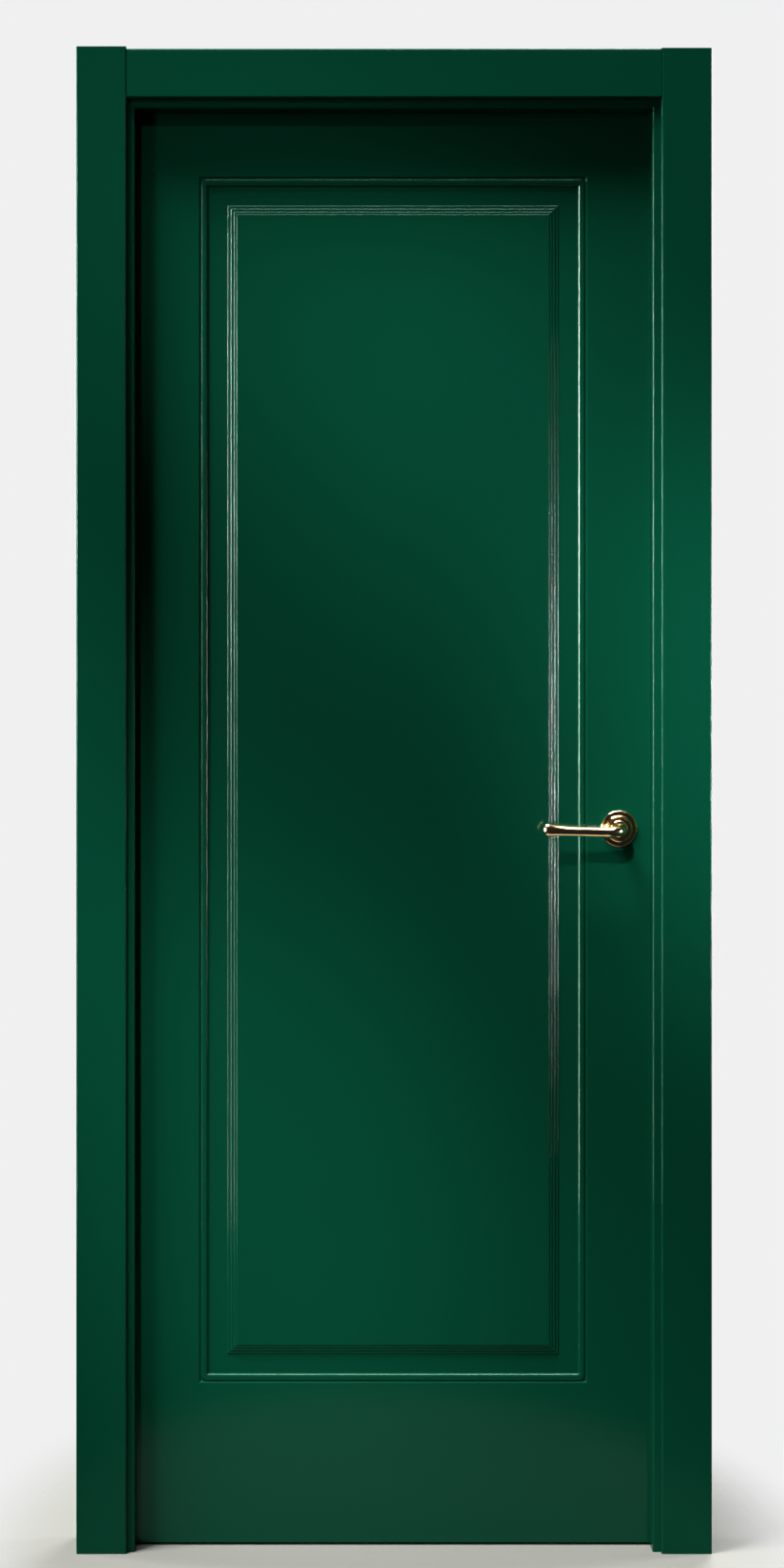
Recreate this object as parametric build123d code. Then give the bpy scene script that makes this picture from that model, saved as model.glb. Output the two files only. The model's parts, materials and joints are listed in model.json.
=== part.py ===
from build123d import *

import os
from math import cos, pi, radians, sin

# A hinged interior door in its frame. The leaf carries one routed panel on each face and
# closes against the stop of a rebated frame, which flat boards trim on both sides of the wall.
# The leaf hangs on three butt hinges and has a mortise latch with a lever on each face.
# Millimetres; Z is up from the floor, and the front looks along -Y.
# X starts at the middle of the leaf's width and Y at the middle of its thickness.

# Leaf and the gaps around it.
leaf_width = 725.0
leaf_height = 1984.0
leaf_thickness = 35.0
leaf_arris = 1.2
floor_gap = 4.0
edge_gap = 3.0

# Routed panel, alike on both faces. Widths run inwards from its outer edge.
panel_side_margin = 93.5
panel_top_margin = 94.5
panel_bottom_margin = 220.0
panel_depth = 5.5
border_width = 2.6
border_depth = 2.6
border_arris_width = 0.9
border_arris_depth = 0.35
quirk_width = 0.9
bead_width = 9.7
bead_drop = 0.5
bead_outer_round = 1.9
bead_inner_round = 4.6
bead_corner_radius = 8.5
bead_inside_corner = 0.6
band_width = 26.6
field_moulding_width = 14.0
field_inset_shares = (0.0, 0.31, 0.63, 0.9)
field_rise_shares = (0.26, 0.56, 0.8, 1.0)
field_round_share = 0.92

# Frame.
jamb_thickness = 30.0
jamb_depth = 70.0
jamb_front_round = 3.0
jamb_arris = 1.2
rebate_depth = 10.5
seal_gap = 3.0
seal_groove_width = 3.0
seal_groove_depth = 5.0
seal_groove_inset = 3.6
seal_fit = 0.05
seal_lip_width = 8.0
seal_lip_round = 1.1
seal_clearance = 0.35

# Boards that trim the frame.
board_width = 69.0
board_thickness = 10.0
board_round = 2.5
front_reveal = 11.0
front_head_reveal = 12.0
front_head_width = 67.3
front_left_rise = 2.9
front_right_rise = 0.8
back_reveal = 5.5

# Hinges.
hinge_height = 90.0
hinge_top_inset = 190.0
hinge_bottom_inset = 215.0
hinge_standoff = 6.5
hinge_plate_reach = 34.0
hinge_plate_thickness = 2.0
hinge_plate_corner = 6.0
knuckle_count = 5
knuckle_radius = 5.5
knuckle_gap = 0.4
pin_radius = 3.0
pin_clearance = 0.05
pin_cap_height = 3.4
pin_cap_crown = 1.6

# Handle.
backset = 50.0
handle_height = 991.0
rose_radius = 25.0
rose_height = 9.0
rose_wall = 1.2
rose_flat_height = 2.8
rose_lip_rise = 0.6
rose_lip_round = 1.0
rose_ring_radius = 16.3
rose_ring_width = 3.4
rose_ring_top = 6.0
rose_ring_cove = 0.7
rose_dish_height = 4.7
rose_collar_radius = 12.6
rose_collar_bow_share = 0.3
rose_base_radius = 17.0
rose_base_thickness = 3.0
rose_hole_gap = 0.4
neck_radius = 8.0
neck_waist_radius = 7.3
neck_start = 1.0
neck_journal_length = 12.0
neck_bearing_gap = 0.08
bend_radius = 15.0
grip_stand = 47.5
lever_reach = 109.0
grip_height = 18.0
grip_depth = 13.5
grip_drop = 3.4
grip_shares = (0.1, 0.28, 0.46, 0.64, 0.8, 0.9, 0.935, 0.97, 0.99, 1.0)
grip_height_shares = (0.79, 0.76, 0.735, 0.76, 0.86, 0.97, 0.99, 0.81, 0.51, 0.2)
grip_depth_shares = (0.95, 0.87, 0.81, 0.82, 0.89, 0.98, 0.99, 0.82, 0.52, 0.2)
grip_drop_shares = (1.0, 0.95, 0.84, 0.66, 0.42, 0.2, 0.1, 0.03, 0.0, 0.0)
tip_count = 5
section_points = 12
spindle_width = 8.0
spindle_insertion = 29.0
socket_fit = 0.05
set_screw_radius = 2.0
set_screw_length = 3.0
set_screw_offset = 16.0
set_screw_fit = 0.05

# Mortise latch.
forend_height = 160.0
forend_width = 20.0
forend_thickness = 3.0
case_depth = 79.0
case_height = 56.0
case_below_spindle = 18.0
case_thickness = 16.0
case_wall = 1.5
follower_radius = 8.5
follower_journal_radius = 7.5
follower_journal_gap = 0.08
follower_side_gap = 0.3
follower_reach = 16.0
follower_tip_radius = 2.5
follower_arm_thickness = 5.0
tail_clearance = 0.6
bolt_projection = 10.0
bolt_height = 16.0
bolt_width = 12.0
bolt_inside_length = 12.0
bolt_bevel_land = 3.0
bolt_fit = 0.3
tail_height = 4.0
tail_width = 6.0
hook_length = 4.0
hook_overlap = 5.5
spring_radius = 3.2
spring_wire_radius = 0.45
spring_turns = 6

# Strike plate in the lock jamb.
strike_height = 90.0
strike_width = 22.0
strike_thickness = 2.0
strike_corner = 6.0
strike_lip_height = 30.0
strike_hole_margin = 1.2
strike_pocket_depth = 12.0
strike_screw_spacing = 66.0

# Fasteners.
wood_screw_head = 3.8
wood_screw_shank = 1.9
wood_screw_length = 17.0
rose_screw_head = 2.6
rose_screw_shank = 1.5
rose_screw_length = 11.0
rose_screw_circle = 12.2
frame_screw_head = 4.2
frame_screw_shank = 2.2
frame_screw_length = 55.0
screw_fit = 0.05
hinge_screw_reach_shares = (0.66, 0.42, 0.66)
hinge_screw_height_shares = (-0.36, 0.0, 0.36)
frame_screw_thickness_share = 0.72
frame_screw_depth_shares = (0.3, 0.72)

# Play left around pieces let into wood, and how far a cut runs past a face.
let_in_fit = 0.1
cut_overrun = 1.0

# Places that follow from the sizes.
leaf_front = -leaf_thickness / 2
leaf_back = leaf_thickness / 2
leaf_edge = leaf_width / 2
leaf_bottom = floor_gap
leaf_top = floor_gap + leaf_height
opening_half = leaf_edge + edge_gap - rebate_depth
opening_height = leaf_top + edge_gap - rebate_depth
rebate_face = leaf_edge + edge_gap
jamb_back = leaf_back
jamb_front = jamb_back - jamb_depth
stop_back = leaf_front - seal_gap
panel_width = leaf_width - 2 * panel_side_margin
panel_height = leaf_height - panel_top_margin - panel_bottom_margin
panel_centre = leaf_bottom + panel_bottom_margin + panel_height / 2
bead_inset = border_width + quirk_width
field_inset = bead_inset + bead_width + band_width
hinge_x = -(leaf_edge + edge_gap / 2)
hinge_y = leaf_back + hinge_standoff
hinge_bottom_centre = leaf_bottom + hinge_bottom_inset
hinge_top_centre = leaf_top - hinge_top_inset
hinge_centres = {
    "bottom": hinge_bottom_centre,
    "middle": (hinge_bottom_centre + hinge_top_centre) / 2,
    "top": hinge_top_centre,
}
spindle_x = leaf_edge - backset
forend_back = leaf_edge - forend_thickness
case_rear = forend_back - case_depth
case_bottom = handle_height - case_below_spindle
case_top = case_bottom + case_height
case_half = case_thickness / 2
case_centre = (case_bottom + case_top) / 2
bolt_centre = handle_height + follower_reach
bolt_low = bolt_centre - bolt_height / 2
bolt_high = bolt_centre + bolt_height / 2
hook_face = spindle_x - follower_tip_radius - tail_clearance
hook_rear = hook_face - hook_length
hook_low = bolt_centre - hook_overlap

front_plane = Plane(origin=(0, leaf_front, panel_centre), x_dir=(1, 0, 0), z_dir=(0, -1, 0))


def span_box(x0, x1, y0, y1, z0, z1):
    centre = Pos((x0 + x1) / 2, (y0 + y1) / 2, (z0 + z1) / 2)
    return centre * Box(x1 - x0, y1 - y0, z1 - z0)


def rod(start, direction, radius, length):
    aligned = (Align.CENTER, Align.CENTER, Align.MIN)
    return Plane(origin=start, z_dir=direction) * Cylinder(radius, length, align=aligned)


def screw(point, outward, head_radius, shank_radius, length, grow):
    # The head's flat lies at the point; grow makes the hole that the screw sits in.
    cone_height = head_radius - shank_radius
    head = Pos(0, 0, -cone_height / 2) * Cone(shank_radius + grow, head_radius + grow, cone_height)
    shank = Pos(0, 0, -(length + grow) / 2) * Cylinder(shank_radius + grow, length + grow)
    return Plane(origin=point, z_dir=outward) * (head + shank)


def to_back(shape):
    return mirror(shape, about=Plane.XZ)


def round_nearest(sketch, place, radius):
    return fillet(sketch.vertices().sort_by_distance(place)[0], radius)


# Frame members. Sections are drawn with x running outwards from the clear opening and y as depth.


def jamb_section():
    outline = [
        (0, jamb_front),
        (jamb_thickness, jamb_front),
        (jamb_thickness, jamb_back),
        (rebate_depth, jamb_back),
        (rebate_depth, stop_back),
        (0, stop_back),
    ]
    section = make_face(Polyline(*outline, close=True))
    section = round_nearest(section, (0, jamb_front), jamb_front_round)
    section = round_nearest(section, (0, stop_back), jamb_arris)
    section = round_nearest(section, (rebate_depth, jamb_back), jamb_arris)
    groove_x = seal_groove_inset + seal_groove_width / 2
    groove_y = stop_back - seal_groove_depth / 2
    return section - Pos(groove_x, groove_y) * Rectangle(seal_groove_width, seal_groove_depth)


def seal_section():
    stem_width = seal_groove_width - 2 * seal_fit
    stem_depth = seal_groove_depth - seal_fit
    centre_x = seal_groove_inset + seal_groove_width / 2
    lip_depth = seal_gap - seal_clearance
    stem = Pos(centre_x, stop_back - stem_depth / 2) * Rectangle(stem_width, stem_depth)
    lip = Pos(centre_x, stop_back + lip_depth / 2) * Rectangle(seal_lip_width, lip_depth)
    lip = fillet(lip.vertices().group_by(Axis.Y)[-1], seal_lip_round)
    return stem + lip


def head_zone():
    low = opening_height - cut_overrun
    high = opening_height + jamb_thickness + cut_overrun
    low_half = opening_half - cut_overrun
    high_half = opening_half + jamb_thickness + cut_overrun
    corners = [(-low_half, low), (low_half, low), (high_half, high), (-high_half, high)]
    return extrude(Plane.XZ * make_face(Polyline(*corners, close=True)), jamb_depth, both=True)


def right_upright(section):
    foot = Plane(origin=(opening_half, 0, 0), x_dir=(1, 0, 0), z_dir=(0, 0, 1))
    return extrude(foot * section, opening_height + jamb_thickness) - head_zone()


def head_member(section):
    end = (opening_half + jamb_thickness, 0, opening_height)
    start = Plane(origin=end, x_dir=(0, 0, 1), z_dir=(-1, 0, 0))
    return extrude(start * section, 2 * (opening_half + jamb_thickness)) & head_zone()


def corner_screws(grow):
    screws = []
    for side in (-1, 1):
        for share in frame_screw_depth_shares:
            x = side * (opening_half + frame_screw_thickness_share * jamb_thickness)
            y = jamb_front + share * jamb_depth
            top = (x, y, opening_height + jamb_thickness)
            size = (frame_screw_head, frame_screw_shank, frame_screw_length)
            screws.append(screw(top, (0, 0, 1), *size, grow))
    return screws


def board_section(width, facing):
    # Facing is -1 for the front of the wall and 1 for the back.
    section = Pos(width / 2, facing * board_thickness / 2) * Rectangle(width, board_thickness)
    outer = section.vertices().sort_by(Axis.Y)
    picked = outer[:2] if facing < 0 else outer[-2:]
    return fillet(picked, board_round)


def side_board(reveal, height, facing, wall_y):
    foot = Plane(origin=(opening_half + reveal, wall_y, 0), x_dir=(1, 0, 0), z_dir=(0, 0, 1))
    return extrude(foot * board_section(board_width, facing), height)


def head_board(reveal, low, width, facing, wall_y):
    end = (opening_half + reveal, wall_y, low)
    start = Plane(origin=end, x_dir=(0, 0, 1), z_dir=(-1, 0, 0))
    return extrude(start * board_section(width, facing), 2 * (opening_half + reveal))


# Hinges, drawn around the pin's axis at the origin. Side is 1 for the leaf's half, -1 for the frame's.


def knuckle_spans(side):
    pitch = hinge_height / knuckle_count
    first = 1 if side > 0 else 0
    spans = []
    for index in range(first, knuckle_count, 2):
        low = -hinge_height / 2 + index * pitch
        spans.append((low, low + pitch))
    return spans


def hinge_plate(side, grow):
    outline = Pos(-hinge_plate_reach / 2, 0) * Rectangle(hinge_plate_reach, hinge_height)
    outline = fillet(outline.vertices().group_by(Axis.X)[0], hinge_plate_corner)
    if grow:
        outline = offset(outline, amount=grow)
    start = Plane.YZ.offset(side * edge_gap / 2)
    return extrude(start * outline, side * hinge_plate_thickness)


def hinge_screws(side, grow):
    screws = []
    for reach, height in zip(hinge_screw_reach_shares, hinge_screw_height_shares):
        seat = (side * edge_gap / 2, -reach * hinge_plate_reach, height * hinge_height)
        size = (wood_screw_head, wood_screw_shank, wood_screw_length)
        screws.append(screw(seat, (-side, 0, 0), *size, grow))
    return screws


def hinge_half(side):
    half = hinge_plate(side, 0)
    pitch = hinge_height / knuckle_count
    for low, high in knuckle_spans(-side):
        clear_radius = knuckle_radius + knuckle_gap
        clear = rod((0, 0, low - knuckle_gap / 2), (0, 0, 1), clear_radius, pitch + knuckle_gap)
        half -= clear
    for low, high in knuckle_spans(side):
        half += rod((0, 0, low + knuckle_gap / 2), (0, 0, 1), knuckle_radius, pitch - knuckle_gap)
    half -= Cylinder(pin_radius + pin_clearance, hinge_height + cut_overrun)
    for hole in hinge_screws(side, screw_fit):
        half -= hole
    return half


def hinge_pin():
    pin = Cylinder(pin_radius, hinge_height)
    for end in (-1, 1):
        seat = (0, 0, end * hinge_height / 2)
        cap = rod(seat, (0, 0, end), knuckle_radius, pin_cap_height)
        pin += fillet(cap.edges().sort_by(Axis.Z)[::end][-1], pin_cap_crown)
    return pin


def at_hinge(name, shape):
    return Pos(hinge_x, hinge_y, hinge_centres[name]) * shape


# Leaf.


def panel_outline(inset, corner):
    width = panel_width - 2 * inset
    height = panel_height - 2 * inset
    return RectangleRounded(width, height, corner) if corner else Rectangle(width, height)


def panel_pocket():
    # The wall falls in two slopes, a shallow one at the arris and a steep one to the shelf.
    stages = [(0, 0), (border_arris_width, border_arris_depth), (border_width, border_depth)]
    well_plane = front_plane.offset(-panel_depth)
    pocket = extrude(well_plane * panel_outline(bead_inset + bead_width / 2, 0), panel_depth)
    for (inset, depth), (next_inset, next_depth) in zip(stages, stages[1:]):
        mouth = front_plane.offset(-depth) * panel_outline(inset, 0)
        floor = front_plane.offset(-next_depth) * panel_outline(next_inset, 0)
        pocket += loft([mouth, floor], ruled=True)
    return pocket


def panel_bead():
    outer = panel_outline(bead_inset, bead_corner_radius)
    inner = panel_outline(bead_inset + bead_width, bead_inside_corner)
    bead = extrude(front_plane.offset(-panel_depth) * (outer - inner), panel_depth - bead_drop)
    bead = fillet(bead.faces().sort_by(Axis.Y)[0].outer_wire().edges(), bead_outer_round)
    return fillet(bead.faces().sort_by(Axis.Y)[0].inner_wires()[0].edges(), bead_inner_round)


def panel_field():
    field = None
    last_rise = 0
    for inset_share, rise_share in zip(field_inset_shares, field_rise_shares):
        outline = panel_outline(field_inset + inset_share * field_moulding_width, 0)
        step = extrude(front_plane.offset(-panel_depth) * outline, rise_share * panel_depth)
        radius = field_round_share * (rise_share - last_rise) * panel_depth
        step = fillet(step.faces().sort_by(Axis.Y)[0].edges(), radius)
        field = step if field is None else field + step
        last_rise = rise_share
    return field


def routed_slab():
    slab = span_box(-leaf_edge, leaf_edge, leaf_front, leaf_back, leaf_bottom, leaf_top)
    slab = fillet(slab.edges().filter_by(Axis.Z), leaf_arris)
    pocket = panel_pocket()
    slab = slab - pocket - to_back(pocket)
    for raised in (panel_bead(), panel_field()):
        slab = slab + raised + to_back(raised)
    return slab


def forend_plate(grow):
    centre = Plane(origin=(forend_back, 0, case_centre), x_dir=(0, 0, 1), z_dir=(1, 0, 0))
    outline = SlotOverall(forend_height + 2 * grow, forend_width + 2 * grow)
    return extrude(centre * outline, forend_thickness)


def forend_screws(grow):
    screws = []
    for side in (-1, 1):
        z = case_centre + side * (forend_height - forend_width) / 2
        size = (wood_screw_head, wood_screw_shank, wood_screw_length)
        screws.append(screw((leaf_edge, 0, z), (1, 0, 0), *size, grow))
    return screws


def rose_screws(grow):
    screws = []
    for side in (-1, 1):
        seat = (spindle_x, leaf_front - rose_base_thickness, handle_height + side * rose_screw_circle)
        size = (rose_screw_head, rose_screw_shank, rose_screw_length)
        front = screw(seat, (0, -1, 0), *size, grow)
        screws.append(front)
        screws.append(to_back(front))
    return screws


def door_leaf():
    leaf = routed_slab()
    play = let_in_fit
    mortise_end = leaf_edge + cut_overrun
    low, high = case_bottom - play, case_top + play
    leaf -= span_box(case_rear - play, mortise_end, -case_half - play, case_half + play, low, high)
    leaf -= forend_plate(play)
    bore_radius = follower_journal_radius + rose_hole_gap
    bore_start = (spindle_x, leaf_front - cut_overrun, handle_height)
    leaf -= rod(bore_start, (0, 1, 0), bore_radius, leaf_thickness + 2 * cut_overrun)
    for hole in forend_screws(screw_fit) + rose_screws(screw_fit):
        leaf -= hole
    for name in hinge_centres:
        leaf -= at_hinge(name, hinge_plate(1, play))
        for hole in hinge_screws(1, screw_fit):
            leaf -= at_hinge(name, hole)
    return leaf


# Latch.


def hub_hole(y, length):
    radius = follower_journal_radius + follower_journal_gap
    return rod((spindle_x, y, handle_height), (0, 1, 0), radius, length)


def latch_case():
    cover_y = case_half - case_wall
    case = span_box(case_rear, forend_back, -case_half, cover_y, case_bottom, case_top)
    inner_x = (case_rear + case_wall, forend_back - case_wall)
    inner_z = (case_bottom + case_wall, case_top - case_wall)
    case -= span_box(*inner_x, -cover_y, cover_y, *inner_z)
    case -= hub_hole(-case_half - cut_overrun, case_wall + 2 * cut_overrun)
    return case - bolt_window(forend_back - case_wall - cut_overrun, forend_back + cut_overrun)


def latch_case_cover():
    cover_y = case_half - case_wall
    cover = span_box(case_rear, forend_back, cover_y, case_half, case_bottom, case_top)
    return cover - hub_hole(cover_y - cut_overrun, case_wall + 2 * cut_overrun)


def bolt_window(x0, x1):
    half = bolt_width / 2 + bolt_fit
    return span_box(x0, x1, -half, half, bolt_low - bolt_fit, bolt_high + bolt_fit)


def latch_forend():
    plate = forend_plate(0)
    for hole in forend_screws(screw_fit):
        plate -= hole
    return plate - bolt_window(forend_back - cut_overrun, leaf_edge + cut_overrun)


def latch_bolt():
    inner_end = forend_back - bolt_inside_length
    tip = leaf_edge + bolt_projection
    half = bolt_width / 2
    outline = [
        (inner_end, -half),
        (leaf_edge, -half),
        (tip, half - bolt_bevel_land),
        (tip, half),
        (inner_end, half),
    ]
    base = Plane(origin=(0, 0, bolt_low), x_dir=(1, 0, 0), z_dir=(0, 0, 1))
    bolt = extrude(base * make_face(Polyline(*outline, close=True)), bolt_height)
    tail_half = tail_width / 2
    tail_low = bolt_high - tail_height
    bolt += span_box(hook_rear, inner_end + cut_overrun, -tail_half, tail_half, tail_low, bolt_high)
    return bolt + span_box(hook_rear, hook_face, -tail_half, tail_half, hook_low, bolt_high)


def follower():
    axis = (spindle_x, 0, handle_height)
    hub_half = case_half - case_wall - follower_side_gap
    hub = rod((spindle_x, -hub_half, handle_height), (0, 1, 0), follower_radius, 2 * hub_half)
    hub += rod((spindle_x, -case_half, handle_height), (0, 1, 0), follower_journal_radius, case_thickness)
    arm_half = follower_arm_thickness / 2
    tip_start = (spindle_x, -arm_half, bolt_centre)
    hub += rod(tip_start, (0, 1, 0), follower_tip_radius, follower_arm_thickness)
    arm_x = (spindle_x - follower_tip_radius, spindle_x + follower_tip_radius)
    hub += span_box(*arm_x, -arm_half, arm_half, handle_height, bolt_centre)
    hole = spindle_width + 2 * socket_fit
    return hub - Pos(*axis) * Box(hole, case_thickness + 2 * cut_overrun, hole)


def latch_spring():
    length = hook_rear - case_rear - case_wall
    height = length - 2 * spring_wire_radius
    coil = Helix(height / spring_turns, height, spring_radius)
    start = Plane(origin=coil @ 0, z_dir=coil % 0)
    wire = sweep(start * Circle(spring_wire_radius), path=coil, is_frenet=True)
    spring_z = (hook_low + bolt_high) / 2
    seat = (case_rear + case_wall + spring_wire_radius, 0, spring_z)
    return Plane(origin=seat, z_dir=(1, 0, 0)) * wire


# Handle, drawn for the front and mirrored for the back.


def rose_shell():
    # Half of the turned profile, drawn as distance from the spindle and height above the leaf.
    hole = neck_radius + rose_hole_gap
    skirt = rose_radius - rose_wall
    lip_top = rose_flat_height + rose_lip_rise
    lip_inner = rose_radius - rose_lip_round
    flat_outer = lip_inner - rose_lip_rise
    ring_outer = rose_ring_radius + rose_ring_width / 2
    ring_inner = rose_ring_radius - rose_ring_width / 2
    ring_foot = rose_flat_height + rose_ring_cove
    collar_inner = hole + rose_wall
    under_high = rose_dish_height - rose_wall
    under_low = rose_flat_height - rose_wall
    under_step = ring_outer - rose_ring_cove
    lip_start = (rose_radius, lip_top - rose_lip_round)
    flat_inner = (ring_outer + rose_ring_cove, rose_flat_height)
    ring_end = (ring_inner, rose_dish_height)
    collar_foot = (rose_collar_radius, rose_dish_height)
    bow = rose_collar_bow_share
    collar_out = collar_inner + bow * (rose_collar_radius - collar_inner)
    collar_up = rose_dish_height + bow * (rose_height - rose_dish_height)
    lines = [
        Line((rose_radius, 0), lip_start),
        RadiusArc(lip_start, (lip_inner, lip_top), -rose_lip_round),
        Line((lip_inner, lip_top), (flat_outer, rose_flat_height)),
        Line((flat_outer, rose_flat_height), flat_inner),
        RadiusArc(flat_inner, (ring_outer, ring_foot), rose_ring_cove),
        ThreePointArc((ring_outer, ring_foot), (rose_ring_radius, rose_ring_top), ring_end),
        Line(ring_end, collar_foot),
        ThreePointArc(collar_foot, (collar_out, collar_up), (collar_inner, rose_height)),
        Line((collar_inner, rose_height), (hole, rose_height)),
        Line((hole, rose_height), (hole, under_high)),
        Line((hole, under_high), (under_step, under_high)),
        Line((under_step, under_high), (under_step, under_low)),
        Line((under_step, under_low), (skirt, under_low)),
        Line((skirt, under_low), (skirt, 0)),
        Line((skirt, 0), (rose_radius, 0)),
    ]
    profile = make_face(Wire(lines))
    solid = revolve(profile, Axis.Y)
    return Pos(spindle_x, leaf_front, handle_height) * mirror(solid, about=Plane.XZ)


def rose_base():
    base = rod((spindle_x, leaf_front, handle_height), (0, -1, 0), rose_base_radius, rose_base_thickness)
    hole = neck_radius + neck_bearing_gap
    deep = rose_base_thickness + 2 * cut_overrun
    base -= rod((spindle_x, leaf_front + cut_overrun, handle_height), (0, -1, 0), hole, deep)
    for hole_solid in rose_screws(screw_fit):
        base -= hole_solid
    return base


def lever_section(place, turn, half_across, half_height):
    # Turn is 0 where the lever leaves the leaf and 90 where it runs along it.
    along = (-sin(radians(turn)), -cos(radians(turn)), 0)
    across = (cos(radians(turn)), -sin(radians(turn)), 0)
    points = []
    for index in range(section_points):
        angle = 2 * pi * index / section_points
        points.append((half_across * cos(angle), half_height * sin(angle)))
    outline = make_face(Spline(*points, periodic=True))
    return Plane(origin=place, x_dir=across, z_dir=along) * outline


def neck_sections():
    straight = grip_stand - bend_radius
    middle = (neck_journal_length + straight) / 2
    radii = {
        neck_journal_length: neck_waist_radius,
        middle: neck_waist_radius,
        straight: neck_waist_radius,
    }
    sections = []
    for out, radius in radii.items():
        place = (spindle_x, leaf_front - out, handle_height)
        sections.append(lever_section(place, 0, radius, radius))
    for turn in (30, 60, 90):
        x = spindle_x - bend_radius * (1 - cos(radians(turn)))
        y = leaf_front - straight - bend_radius * sin(radians(turn))
        z = handle_height - grip_drop * turn / 90
        sections.append(lever_section((x, y, z), turn, neck_waist_radius, neck_waist_radius))
    return sections


def grip_sections():
    sections = []
    shapes = zip(grip_shares, grip_height_shares, grip_depth_shares, grip_drop_shares)
    for share, tall, deep, drop in shapes:
        x = spindle_x - bend_radius - share * (lever_reach - bend_radius)
        place = (x, leaf_front - grip_stand, handle_height - drop * grip_drop)
        sections.append(lever_section(place, 90, deep * grip_depth / 2, tall * grip_height / 2))
    return sections


def lever_body():
    grip = grip_sections()
    neck = loft(neck_sections() + grip[:1])
    return neck + loft(grip[: 1 - tip_count]) + loft(grip[-tip_count:])


def set_screw(grow):
    out = leaf_front - set_screw_offset
    top = handle_height - spindle_width / 2 - socket_fit
    return rod((spindle_x, out, top), (0, 0, -1), set_screw_radius + grow, set_screw_length + grow)


def front_lever():
    lever = lever_body()
    journal = neck_journal_length + cut_overrun - neck_start
    lever += rod((spindle_x, leaf_front - neck_start, handle_height), (0, -1, 0), neck_radius, journal)
    hole = spindle_width + 2 * socket_fit
    half = hole / 2
    socket_end = leaf_front - spindle_insertion - socket_fit
    x_range = (spindle_x - half, spindle_x + half)
    z_range = (handle_height - half, handle_height + half)
    lever -= span_box(*x_range, socket_end, leaf_front + cut_overrun, *z_range)
    return lever - set_screw(set_screw_fit)


def spindle():
    half = spindle_width / 2
    x_range = (spindle_x - half, spindle_x + half)
    z_range = (handle_height - half, handle_height + half)
    return span_box(*x_range, leaf_front - spindle_insertion, leaf_back + spindle_insertion, *z_range)


# Strike plate.


def strike_outline(grow):
    plate = RectangleRounded(strike_width + 2 * grow, strike_height + 2 * grow, strike_corner + grow)
    lip_reach = jamb_back - jamb_arris
    lip = Pos(lip_reach / 2, 0) * Rectangle(lip_reach, strike_lip_height + 2 * grow)
    return plate + lip


def strike_hole(depth):
    half = bolt_width / 2 + strike_hole_margin
    low = bolt_low - strike_hole_margin
    high = bolt_high + strike_hole_margin
    return span_box(rebate_face - cut_overrun, rebate_face + depth, -half, half, low, high)


def strike_blank(grow):
    start = Plane(origin=(rebate_face, 0, bolt_centre), x_dir=(0, 1, 0), z_dir=(1, 0, 0))
    return extrude(start * strike_outline(grow), strike_thickness)


def strike_screws(grow):
    screws = []
    for side in (-1, 1):
        seat = (rebate_face, 0, bolt_centre + side * strike_screw_spacing / 2)
        size = (wood_screw_head, wood_screw_shank, wood_screw_length)
        screws.append(screw(seat, (-1, 0, 0), *size, grow))
    return screws


def strike_plate():
    plate = strike_blank(0) - strike_hole(strike_thickness + cut_overrun)
    for hole in strike_screws(screw_fit):
        plate -= hole
    return plate


# Jambs with what is let into them.


def lock_jamb():
    jamb = right_upright(jamb_section())
    jamb -= strike_blank(let_in_fit)
    jamb -= strike_hole(strike_pocket_depth)
    for hole in strike_screws(screw_fit) + corner_screws(screw_fit):
        jamb -= hole
    return jamb


def hinge_jamb():
    jamb = mirror(right_upright(jamb_section()), about=Plane.YZ)
    for name in hinge_centres:
        jamb -= at_hinge(name, hinge_plate(-1, let_in_fit))
        for hole in hinge_screws(-1, screw_fit):
            jamb -= at_hinge(name, hole)
    for hole in corner_screws(screw_fit):
        jamb -= hole
    return jamb


def head_jamb():
    jamb = head_member(jamb_section())
    for hole in corner_screws(screw_fit):
        jamb -= hole
    return jamb


def write(name, shape):
    solids = shape if isinstance(shape, list) else [shape]
    export_step(solids[0] if len(solids) == 1 else Compound(children=solids), f"parts/{name}.step")


os.makedirs("parts", exist_ok=True)

write("hinge_jamb", hinge_jamb())
write("lock_jamb", lock_jamb())
write("head_jamb", head_jamb())
write("corner_screws", corner_screws(0))

side_seal = right_upright(seal_section())
write("lock_side_seal", side_seal)
write("hinge_side_seal", mirror(side_seal, about=Plane.YZ))
write("head_seal", head_member(seal_section()))

front_head_low = opening_height + front_head_reveal
front_head_top = front_head_low + front_head_width
front_left_height = front_head_top + front_left_rise
front_right_height = front_head_top + front_right_rise
front_left = side_board(front_reveal, front_left_height, -1, jamb_front)
write("front_left_architrave", mirror(front_left, about=Plane.YZ))
write("front_right_architrave", side_board(front_reveal, front_right_height, -1, jamb_front))
front_head = head_board(front_reveal, front_head_low, front_head_width, -1, jamb_front)
write("front_head_architrave", front_head)

back_inset = rebate_depth + back_reveal
back_head_low = opening_height + back_inset
back_side = side_board(back_inset, back_head_low + board_width, 1, jamb_back)
write("back_right_architrave", back_side)
write("back_left_architrave", mirror(back_side, about=Plane.YZ))
write("back_head_architrave", head_board(back_inset, back_head_low, board_width, 1, jamb_back))

frame_half = hinge_half(-1)
leaf_half = hinge_half(1)
pin = hinge_pin()
frame_hinge_screws = []
leaf_hinge_screws = []
for name in hinge_centres:
    write(f"{name}_hinge_frame_leaf", at_hinge(name, frame_half))
    write(f"{name}_hinge_door_leaf", at_hinge(name, leaf_half))
    write(f"{name}_hinge_pin", at_hinge(name, pin))
    frame_hinge_screws += [at_hinge(name, one) for one in hinge_screws(-1, 0)]
    leaf_hinge_screws += [at_hinge(name, one) for one in hinge_screws(1, 0)]
write("hinge_frame_screws", frame_hinge_screws)
write("hinge_door_screws", leaf_hinge_screws)

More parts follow.
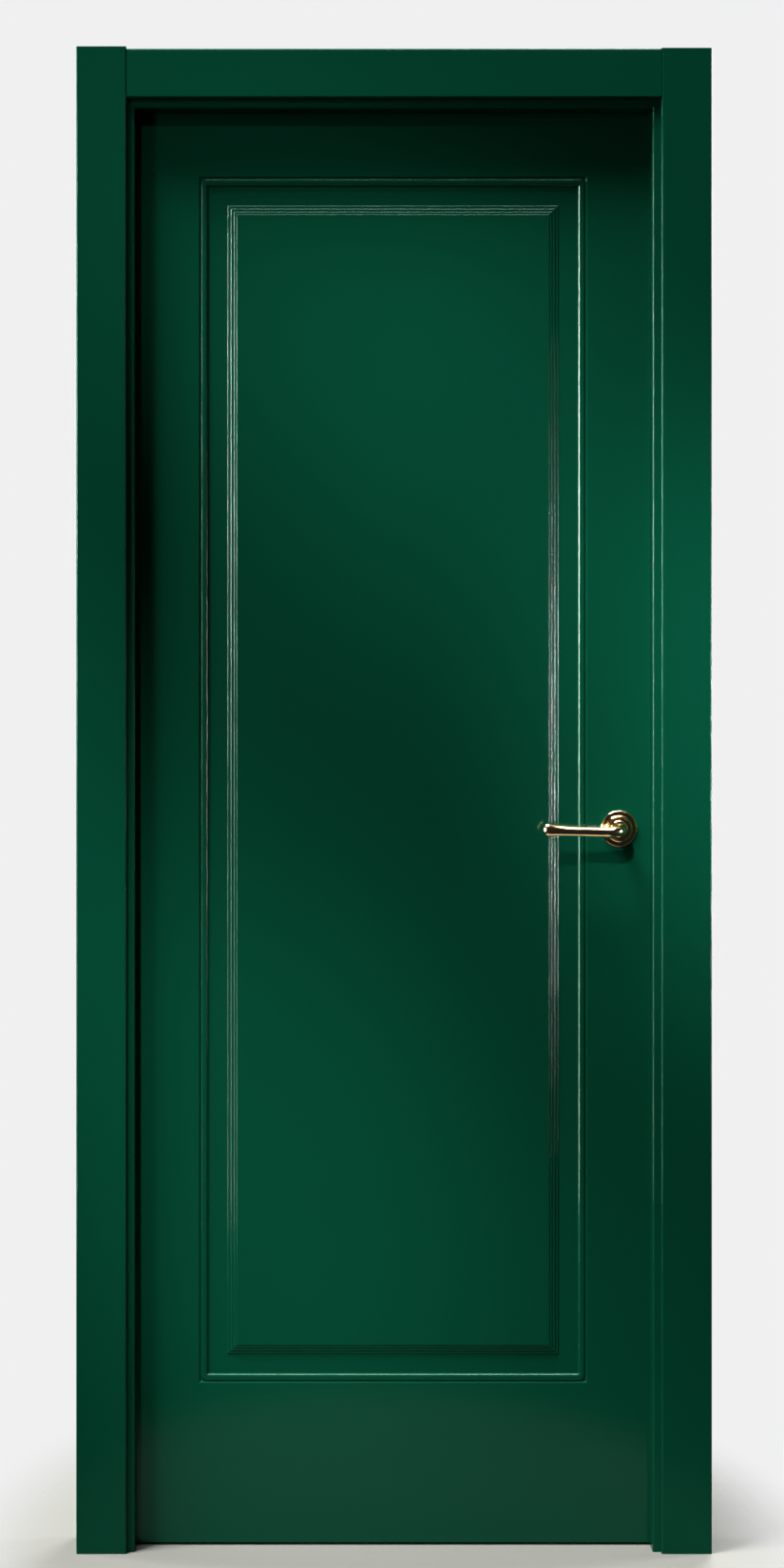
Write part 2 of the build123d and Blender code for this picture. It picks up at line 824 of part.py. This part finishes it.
write("strike_plate", strike_plate())
write("strike_screws", strike_screws(0))

write("door_leaf", door_leaf())
write("latch_case", latch_case())
write("latch_case_cover", latch_case_cover())
write("latch_forend", latch_forend())
write("forend_screws", forend_screws(0))
write("latch_bolt", latch_bolt())
write("latch_spring", latch_spring())
write("follower", follower())
write("spindle", spindle())

rose = rose_shell()
base = rose_base()
lever = front_lever()
write("front_rose", rose)
write("back_rose", to_back(rose))
write("front_rose_base", base)
write("back_rose_base", to_back(base))
write("rose_screws", rose_screws(0))
write("front_lever", lever)
write("back_lever", to_back(lever))
write("lever_set_screws", [set_screw(0), to_back(set_screw(0))])
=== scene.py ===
import json
import math
import bpy
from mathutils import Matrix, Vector

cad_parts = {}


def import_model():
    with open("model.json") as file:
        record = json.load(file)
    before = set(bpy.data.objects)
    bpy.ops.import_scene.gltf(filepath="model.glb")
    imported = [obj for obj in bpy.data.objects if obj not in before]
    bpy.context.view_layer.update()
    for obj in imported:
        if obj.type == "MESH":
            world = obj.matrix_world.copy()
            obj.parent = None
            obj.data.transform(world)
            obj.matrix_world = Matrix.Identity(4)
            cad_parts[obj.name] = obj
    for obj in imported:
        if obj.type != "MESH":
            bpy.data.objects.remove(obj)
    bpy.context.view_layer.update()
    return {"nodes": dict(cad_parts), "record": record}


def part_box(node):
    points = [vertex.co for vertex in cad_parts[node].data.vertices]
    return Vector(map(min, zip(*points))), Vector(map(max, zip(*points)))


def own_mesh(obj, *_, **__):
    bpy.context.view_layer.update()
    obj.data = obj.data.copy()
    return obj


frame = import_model()
nodes = frame["nodes"]
scene = bpy.context.scene

# The picture's width and height, the point straight ahead of the lens, and the focal length, all in pixels
picture_width, picture_height = 825, 1650
straight_ahead_x, straight_ahead_y = 317, 780
focal_pixels = 3077

# Where the camera's eye is, in metres, and how high its sensor is, in millimetres
eye_x, eye_y, eye_z = -0.127, -4.0625, 1.112
sensor_height = 36.0

# Half the width and depth of the floor's pale oval in metres, and the share of them where it starts to fade
floor_half_width, floor_half_depth = 0.64, 1.15
floor_fade_share = 0.68

# The latch spring's corners at rest, how far the bolt draws in, and the room left between them, in metres
spring_low, spring_high = (Vector(corner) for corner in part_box("latch_spring"))
bolt_travel = next(joint["range_m"][1] for joint in frame["record"]["behaviour"]["joints"]
                   if joint["name"] == "latch_slide")
spring_room = 0.0002

# Soft rectangular lamps: place, aim, width and height in metres, watts, and whether one shows only in shine
lamps = {
    "high_softbox": dict(place=(-3.0, -2.1, 9.1), aim=(0, 0, 1.0), size=(2.45, 2.45), watts=2000),
    "left_softbox": dict(place=(-3.2, -3.6, 1.9), aim=(0, 0, 1.1), size=(0.8, 2.2), watts=38),
    "back_softbox": dict(place=(1.8, 4.6, 3.6), aim=(0, 0, 1.0), size=(2.4, 2.4), watts=350),
    "left_side_softbox": dict(place=(-4.2, 1.2, 2.0), aim=(0, 0, 1.0), size=(1.0, 2.0), watts=200),
    "right_side_softbox": dict(place=(4.2, 1.2, 2.0), aim=(0, 0, 1.0), size=(1.0, 2.0), watts=200),
    "top_gleam": dict(place=(0, -1.9, 6.5), aim=(0, 0, 1.0), size=(3.0, 1.0), watts=670, gleam_only=True),
}

# Columns of lamps for the gleams along the upright mouldings: where a column stands, the x that it faces on
# the door, its width, its lowest, highest and brightest heights and how far it takes to fade from there, in
# metres, the share of light left where it is dimmest, and the watts of its brightest lamp
gleam_columns = {
    "left_gleam": dict(x=-4.4, y=-1.7, aim_x=-0.05, width=0.6, low=-0.3, high=2.9,
                       brightest=2.0, fade=0.75, dim_share=0.25, watts=2.5),
    "right_gleam": dict(x=1.114, y=-0.345, aim_x=0.201, width=0.045, low=0.4, high=1.8,
                        brightest=1.1, fade=0.33, dim_share=0.0, watts=0.3),
}

# How many lamps a column has, and how many degrees wide the beam of each is
gleam_steps = 10
gleam_beam = 16

# Where the pools of light on the door come from, and the radius of their lamps, in metres
pool_place = (-1.1, -3.85, 3.9)
pool_lamp_radius = 0.15

# Pools of light: the middle of each on the door's face in metres, its width in degrees, and its watts
pools = {
    "pool_top": dict(aim_x=-0.20, aim_z=1.76, width=7.5, watts=280),
    "pool_upper": dict(aim_x=0.11, aim_z=1.55, width=8.4, watts=700),
    "pool_lock_side": dict(aim_x=0.60, aim_z=1.07, width=10.5, watts=1800),
    "pool_left": dict(aim_x=-0.58, aim_z=0.95, width=8.6, watts=700),
    "pool_lower": dict(aim_x=-0.19, aim_z=0.53, width=9.2, watts=980),
    "pool_foot": dict(aim_x=0.09, aim_z=0.0, width=12.5, watts=350),
}

# Where a Mix node for colours has its factor, its two colours and its result among its sockets
mix_factor, mix_first, mix_second, mix_result = 0, 6, 7, 2


class Value:
    """A number, colour or direction among a material's nodes, written with plain arithmetic."""

    def __init__(self, tree, socket):
        self.tree, self.socket = tree, socket

    def node(self, kind, settings=None, sockets=None, out=0):
        """Adds one node of this kind, gives it its settings and sockets, and hands on one of its outputs."""
        made = self.tree.nodes.new(kind)
        for name, value in (settings or {}).items():
            setattr(made, name, value)
        for name, value in (sockets or {}).items():
            if isinstance(value, Value):
                self.tree.links.new(value.socket, made.inputs[name])
            else:
                made.inputs[name].default_value = value
        return Value(self.tree, made.outputs[out])

    def math(self, operation, *values):
        """One step of arithmetic on these values."""
        return self.node("ShaderNodeMath", {"operation": operation}, dict(enumerate(values)))

    def __add__(self, other):
        return self.math("ADD", self, other)

    def __radd__(self, other):
        return self.math("ADD", other, self)

    def __mul__(self, other):
        return self.math("MULTIPLY", self, other)

    def __rmul__(self, other):
        return self.math("MULTIPLY", other, self)

    def between(self, low, high):
        """A number that runs from low to high as this value runs from 0 to 1."""
        return self * (high - low) + low

    def blend(self, first, second):
        """The first colour where this value is 0, the second where it is 1, and mixtures between."""
        return self.node("ShaderNodeMix", {"data_type": "RGBA"},
                         {mix_factor: self, mix_first: first, mix_second: second}, mix_result)

    def bump(self, distance):
        """A surface that looks raised by up to this many metres where this value is 1."""
        return self.node("ShaderNodeBump", None, {"Height": self, "Distance": distance})


class Finish:
    """A material with its main shader and the object's own coordinates at hand."""

    def __init__(self, name, **constants):
        self.material = bpy.data.materials.new(name)
        self.material.use_nodes = True
        tree = self.material.node_tree
        self.shader = tree.nodes["Principled BSDF"]
        self.place = Value(tree, tree.nodes.new("ShaderNodeTexCoord").outputs["Object"])
        for socket, value in constants.items():
            self.shader.inputs[socket.replace("_", " ")].default_value = value

    def scaled_place(self, scale):
        """The object's own coordinates, each times its own scale."""
        return self.place.node("ShaderNodeMapping", None, {"Vector": self.place, "Scale": scale})

    def noise(self, size, detail=2.0, stretch=(1, 1, 1)):
        """Smooth unevenness from 0 to 1 whose patches are about this many metres across."""
        return self.place.node("ShaderNodeTexNoise", None,
                               {"Vector": self.scaled_place(stretch), "Scale": 1 / size, "Detail": detail})

    def feed(self, **values):
        """Links each value to the shader's socket of that name, and hands on the finished material."""
        for socket, value in values.items():
            self.place.tree.links.new(value.socket, self.shader.inputs[socket.replace("_", " ")])
        return self.material


def colour(red, green, blue):
    """An opaque colour in linear light."""
    return (red, green, blue, 1.0)


def green_lacquer(name, sheen, gloss):
    """Satin lacquer in several coats, with a faint orange-peel skin, a green sheen and a clear gloss."""
    finish = Finish(name, Specular_IOR_Level=sheen, Specular_Tint=colour(0.1, 1.0, 0.65),
                    Coat_Weight=gloss, Coat_Roughness=0.06)
    cloud = finish.noise(size=0.35)
    peel = finish.noise(size=0.0022, detail=1.0)
    mottle = finish.noise(size=0.012, detail=3.0)
    base = cloud.blend(colour(0.0010, 0.040, 0.0200), colour(0.0012, 0.044, 0.0220))
    return finish.feed(Base_Color=base, Roughness=mottle.between(low=0.22, high=0.27),
                       Normal=peel.bump(distance=0.00002))


def polished_brass():
    """Polished brass of levers and roses, with faint wiping marks."""
    finish = Finish("polished_brass", Metallic=1.0)
    tone = finish.noise(size=0.02)
    wipe = finish.noise(size=0.0016, stretch=(0.2, 1, 1))
    base = tone.blend(colour(0.90, 0.67, 0.37), colour(0.84, 0.60, 0.31))
    return finish.feed(Base_Color=base, Roughness=wipe.between(low=0.10, high=0.16),
                       Normal=wipe.bump(distance=0.000004))


def satin_brass():
    """Brushed brass of hinges, plates and latch bolt."""
    finish = Finish("satin_brass", Metallic=1.0)
    tone = finish.noise(size=0.03)
    brush = finish.noise(size=0.0006, stretch=(1, 1, 0.05))
    base = tone.blend(colour(0.74, 0.54, 0.26), colour(0.66, 0.47, 0.21))
    return finish.feed(Base_Color=base, Roughness=brush.between(low=0.26, high=0.38),
                       Normal=brush.bump(distance=0.000008))


def zinc_steel():
    """Bright zinc-plated steel of screws, spindle, rose bases and the latch's inner pieces."""
    finish = Finish("steel", Metallic=1.0)
    tone = finish.noise(size=0.01)
    grain = finish.noise(size=0.001, detail=3.0)
    base = tone.blend(colour(0.58, 0.58, 0.60), colour(0.68, 0.67, 0.66))
    return finish.feed(Base_Color=base, Roughness=grain.between(low=0.28, high=0.43),
                       Normal=grain.bump(distance=0.000006))


def seal_rubber():
    """Black extruded seal with a dull skin."""
    finish = Finish("seal_rubber", Specular_IOR_Level=0.3)
    grain = finish.noise(size=0.0015, detail=3.0)
    base = grain.blend(colour(0.012, 0.012, 0.012), colour(0.022, 0.022, 0.021))
    return finish.feed(Base_Color=base, Roughness=grain.between(low=0.60, high=0.75),
                       Normal=grain.bump(distance=0.00002))


finishes = {
    "leaf_lacquer": green_lacquer("leaf_lacquer", sheen=0.08, gloss=0.22),
    "frame_lacquer": green_lacquer("frame_lacquer", sheen=0.05, gloss=0.068),
    "polished_brass": polished_brass(),
    "satin_brass": satin_brass(),
    "steel": zinc_steel(),
    "seal_rubber": seal_rubber(),
}


def finish_of(node):
    """The name of the finish that a CAD node takes."""
    if node.endswith("seal"):
        return "seal_rubber"
    if "screws" in node or "rose_base" in node:
        return "steel"
    if node in ("latch_case", "latch_case_cover", "latch_spring", "spindle", "follower"):
        return "steel"
    if "lever" in node or "rose" in node:
        return "polished_brass"
    if "hinge_" in node and "jamb" not in node:
        return "satin_brass"
    if node in ("strike_plate", "latch_forend", "latch_bolt"):
        return "satin_brass"
    return "leaf_lacquer" if node == "door_leaf" else "frame_lacquer"


def camera():
    """A level camera along +Y, shifted to put the point straight ahead where the picture has it."""
    data = bpy.data.cameras.new("camera")
    data.sensor_fit = "VERTICAL"
    data.sensor_height = sensor_height
    data.lens = focal_pixels * sensor_height / picture_height
    data.shift_x = (picture_width / 2 - straight_ahead_x) / picture_height
    data.shift_y = (straight_ahead_y - picture_height / 2) / picture_height
    eye = bpy.data.objects.new("camera", data)
    eye.location = (eye_x, eye_y, eye_z)
    eye.rotation_euler = (math.radians(90), 0, 0)
    scene.collection.objects.link(eye)
    scene.camera = eye


def world():
    """White behind the object as the camera sees it, a dim even light for everything else."""
    scene.world = bpy.data.worlds.new("room")
    scene.world.use_nodes = True
    tree = scene.world.node_tree
    background = tree.nodes["Background"]
    path = Value(tree, tree.nodes.new("ShaderNodeLightPath").outputs["Is Camera Ray"])
    dim_room, white = colour(0.012, 0.012, 0.012), colour(0.87, 0.87, 0.88)
    tree.links.new(path.blend(dim_room, white).socket, background.inputs["Color"])


def floor():
    """A pale oval of floor under the door that fades out into the white."""
    mesh = bpy.data.meshes.new("floor")
    x, y = floor_half_width, floor_half_depth
    mesh.from_pydata([(-x, -y, 0), (x, -y, 0), (x, y, 0), (-x, y, 0)], [], [(0, 1, 2, 3)])
    slab = bpy.data.objects.new("floor", mesh)
    finish = Finish("pale_floor", Base_Color=colour(0.20, 0.20, 0.18), Roughness=0.6,
                    Specular_IOR_Level=0.2)
    scaled = finish.scaled_place((1 / x, 1 / y, 1))
    away = scaled.node("ShaderNodeVectorMath", {"operation": "LENGTH"}, {"Vector": scaled}, "Value")
    fade = {"Value": away, "From Min": floor_fade_share, "From Max": 1.0, "To Min": 1.0, "To Max": 0.0}
    shown = away.node("ShaderNodeMapRange", {"interpolation_type": "SMOOTHSTEP"}, fade)
    mesh.materials.append(finish.feed(Alpha=shown))
    scene.collection.objects.link(slab)


def hang(data, place, aim):
    """Puts a light at place, facing aim."""
    light = bpy.data.objects.new(data.name, data)
    light.location = place
    light.rotation_euler = (Vector(aim) - Vector(place)).to_track_quat("-Z", "Y").to_euler()
    scene.collection.objects.link(light)
    return light


def lamp(name, place, aim, size, watts, gleam_only=False, beam=180):
    """A soft rectangular lamp whose beam is this many degrees wide; one for gleams shows only in shine."""
    data = bpy.data.lights.new(name, "AREA")
    data.shape = "RECTANGLE"
    data.size, data.size_y = size
    data.energy = watts
    data.spread = math.radians(beam)
    hang(data, place, aim).visible_diffuse = not gleam_only


def gleam_column(name, x, y, aim_x, width, low, high, brightest, fade, dim_share, watts):
    """Lamps stacked from low to high that show only in shine, in a bell curve about the brightest height.

    Each faces the height where the camera sees its gleam on an upright edge: between the heights of lamp and
    eye, nearer to the one that stands nearer to the door.
    """
    step = (high - low) / gleam_steps
    reach = math.hypot(aim_x - x, y)
    for count in range(gleam_steps):
        z = low + (count + 0.5) * step
        aim_z = (eye_z * reach - z * eye_y) / (reach - eye_y)
        share = dim_share + (1 - dim_share) * math.exp(-((z - brightest) / fade) ** 2)
        lamp(f"{name}_{count}", (x, y, z), (aim_x, 0, aim_z), (width, step), watts * share,
             gleam_only=True, beam=gleam_beam)


def pool(name, aim_x, aim_z, width, watts):
    """A feathered round of light from the upper left on the door's face, which shows in no shine."""
    data = bpy.data.lights.new(name, "SPOT")
    data.spot_size = math.radians(width)
    data.spot_blend = 1.0
    data.shadow_soft_size = pool_lamp_radius
    data.energy = watts
    hang(data, pool_place, (aim_x, 0, aim_z)).visible_glossy = False


for name, node in nodes.items():
    node.data.materials.clear()
    node.data.materials.append(finishes[finish_of(name)])

# The latch spring at the back of the case gets its own copy of its mesh; the bolt's travel and the room left
# are passed along, but nothing shortens it
spring_middle = (spring_low + spring_high) / 2
spring_length = spring_high.x - spring_low.x
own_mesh(nodes["latch_spring"], "latch_slide", axis=(1, 0, 0),
          anchor=(spring_low.x, spring_middle.y, spring_middle.z),
          keep=1 - (bolt_travel + spring_room) / spring_length)

camera()
world()
floor()
for name, settings in lamps.items():
    lamp(name, **settings)
for name, settings in gleam_columns.items():
    gleam_column(name, **settings)
for name, settings in pools.items():
    pool(name, **settings)
scene.view_settings.view_transform = "Standard"
